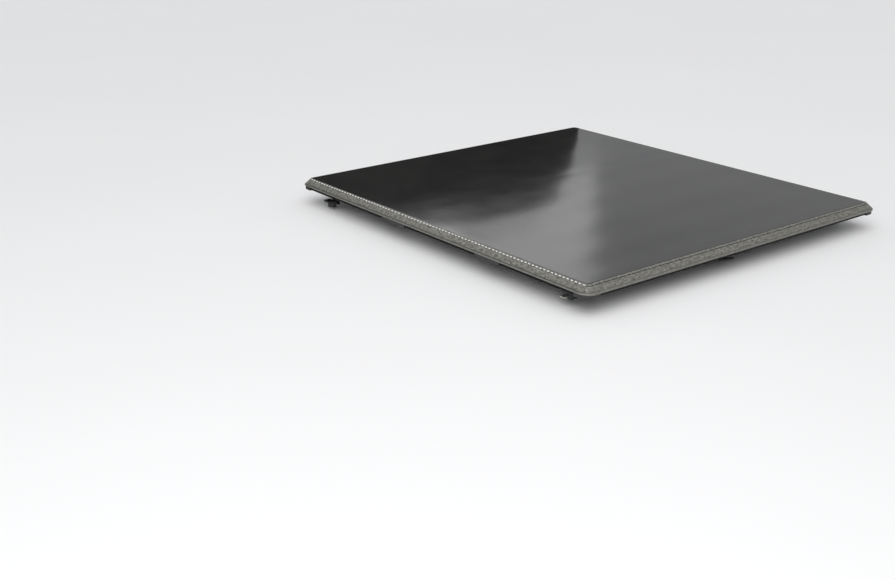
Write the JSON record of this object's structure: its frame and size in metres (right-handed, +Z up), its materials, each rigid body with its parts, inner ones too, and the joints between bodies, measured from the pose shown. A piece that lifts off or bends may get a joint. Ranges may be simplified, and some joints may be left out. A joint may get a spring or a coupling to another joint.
{
  "type": "tonneau cover",
  "caption": "Soft folding cover for a pickup truck's bed: framed panels under one black vinyl skin with a sloping sewn border, front clamps and rear latches.",
  "frame": {"origin": "under the middle of the cover, level with the lower ends of the clamp studs", "axes": "+X to the truck's right-hand side, +Y forward to the cab, +Z up"},
  "size_m": [1.684, 1.824, 0.119],
  "materials": {
    "vinyl_top": "satin black vinyl with a very fine grain",
    "vinyl_border": "matt charcoal vinyl with a coarse woven grain",
    "seal_rubber": "matt black extruded rubber",
    "frame_metal": "satin extruded aluminium with fine die lines",
    "corner_casting": "matt black glass-filled nylon",
    "hardware_black": "black powder coat with a fine texture",
    "knob_plastic": "moulded black plastic",
    "zinc_steel": "bright zinc-plated steel"
  },
  "bodies": {
    "front_panel": {"clamp_body_left": "hardware_black", "clamp_body_right": "hardware_black", "clamp_screws": "zinc_steel", "clamp_studs": "zinc_steel", "front_border_left": "vinyl_border", "front_border_right": "vinyl_border", "front_bow": "frame_metal", "front_corner_left": "corner_casting", "front_corner_right": "corner_casting", "front_fold_corners": "corner_casting", "front_fold_rail": "frame_metal", "front_side_rail_left": "frame_metal", "front_side_rail_right": "frame_metal", "front_side_seals": "seal_rubber", "front_skin": "vinyl_top", "header_border": "vinyl_border", "header_rail": "frame_metal", "header_seal": "seal_rubber"},
    "spacer": {"spacer_bar": "frame_metal", "spacer_borders": "vinyl_border", "spacer_caps": "corner_casting", "spacer_skin": "vinyl_top"},
    "mid_panel": {"mid_border_left": "vinyl_border", "mid_border_right": "vinyl_border", "mid_bow": "frame_metal", "mid_front_corners": "corner_casting", "mid_front_rail": "frame_metal", "mid_rear_corners": "corner_casting", "mid_rear_rail": "frame_metal", "mid_side_rail_left": "frame_metal", "mid_side_rail_right": "frame_metal", "mid_side_seals": "seal_rubber", "mid_skin": "vinyl_top"},
    "rear_panel": {"handle_bracket": "hardware_black", "latch_housings": "hardware_black", "latch_screws": "zinc_steel", "rear_border_left": "vinyl_border", "rear_border_right": "vinyl_border", "rear_bow": "frame_metal", "rear_corner_left": "corner_casting", "rear_corner_right": "corner_casting", "rear_fold_corners": "corner_casting", "rear_fold_rail": "frame_metal", "rear_side_rail_left": "frame_metal", "rear_side_rail_right": "frame_metal", "rear_side_seals": "seal_rubber", "rear_skin": "vinyl_top", "tail_border": "vinyl_border", "tail_rail": "frame_metal", "tail_seal": "seal_rubber"},
    "left_jaw": {"clamp_jaw_left": "hardware_black"},
    "left_knob": {"clamp_knob_left": "knob_plastic"},
    "right_jaw": {"clamp_jaw_right": "hardware_black"},
    "right_knob": {"clamp_knob_right": "knob_plastic"},
    "left_bolt": {"latch_bolt_left": "zinc_steel", "pull_rod_left": "zinc_steel"},
    "right_bolt": {"latch_bolt_right": "zinc_steel", "pull_rod_right": "zinc_steel"},
    "handle": {"release_handle": "hardware_black"}
  },
  "joints": [
    {"name": "front_fold_lower", "type": "hinge", "parent": "front_panel", "child": "spacer", "pos_m": [0, 0.263, 0.1195], "axis": [-1, 0, 0], "range_deg": [0, 90]},
    {"name": "front_fold_upper", "type": "hinge", "parent": "spacer", "child": "mid_panel", "pos_m": [0, 0.167, 0.1195], "axis": [-1, 0, 0], "range_deg": [0, 90]},
    {"name": "rear_fold", "type": "hinge", "parent": "mid_panel", "child": "rear_panel", "pos_m": [0, -0.378, 0.1195], "axis": [-1, 0, 0], "range_deg": [0, 180]},
    {"name": "left_jaw_slide", "type": "slide", "parent": "front_panel", "child": "left_jaw", "axis": [0, 0, -1], "range_m": [0, 0.01]},
    {"name": "left_knob_turn", "type": "hinge", "parent": "left_jaw", "child": "left_knob", "pos_m": [-0.782, 0.752, 0.0229], "axis": [0, 0, -1], "range_deg": [0, 1800]},
    {"name": "right_jaw_slide", "type": "slide", "parent": "front_panel", "child": "right_jaw", "axis": [0, 0, -1], "range_m": [0, 0.01]},
    {"name": "right_knob_turn", "type": "hinge", "parent": "right_jaw", "child": "right_knob", "pos_m": [0.782, 0.752, 0.0229], "axis": [0, 0, -1], "range_deg": [0, 1800]},
    {"name": "release_turn", "type": "hinge", "parent": "rear_panel", "child": "handle", "pos_m": [0, -0.762, 0.032], "axis": [0, 0, 1], "range_deg": [0, 35], "stiffness_Nm_per_rad": 0.6, "springref_deg": -22.92},
    {"name": "left_bolt_slide", "type": "slide", "parent": "rear_panel", "child": "left_bolt", "axis": [1, 0, 0], "range_m": [0, 0.0151]},
    {"name": "right_bolt_slide", "type": "slide", "parent": "rear_panel", "child": "right_bolt", "axis": [-1, 0, 0], "range_m": [0, 0.0151]}
  ],
  "couplings": [
    {"joint": "front_fold_upper", "follows": "front_fold_lower", "ratio": 1},
    {"joint": "left_knob_turn", "follows": "left_jaw_slide", "rad_per_m": 3141.6},
    {"joint": "right_knob_turn", "follows": "right_jaw_slide", "rad_per_m": 3141.6},
    {"joint": "left_bolt_slide", "follows": "release_turn", "m_per_rad": 0.024613},
    {"joint": "right_bolt_slide", "follows": "release_turn", "m_per_rad": 0.024613}
  ]
}
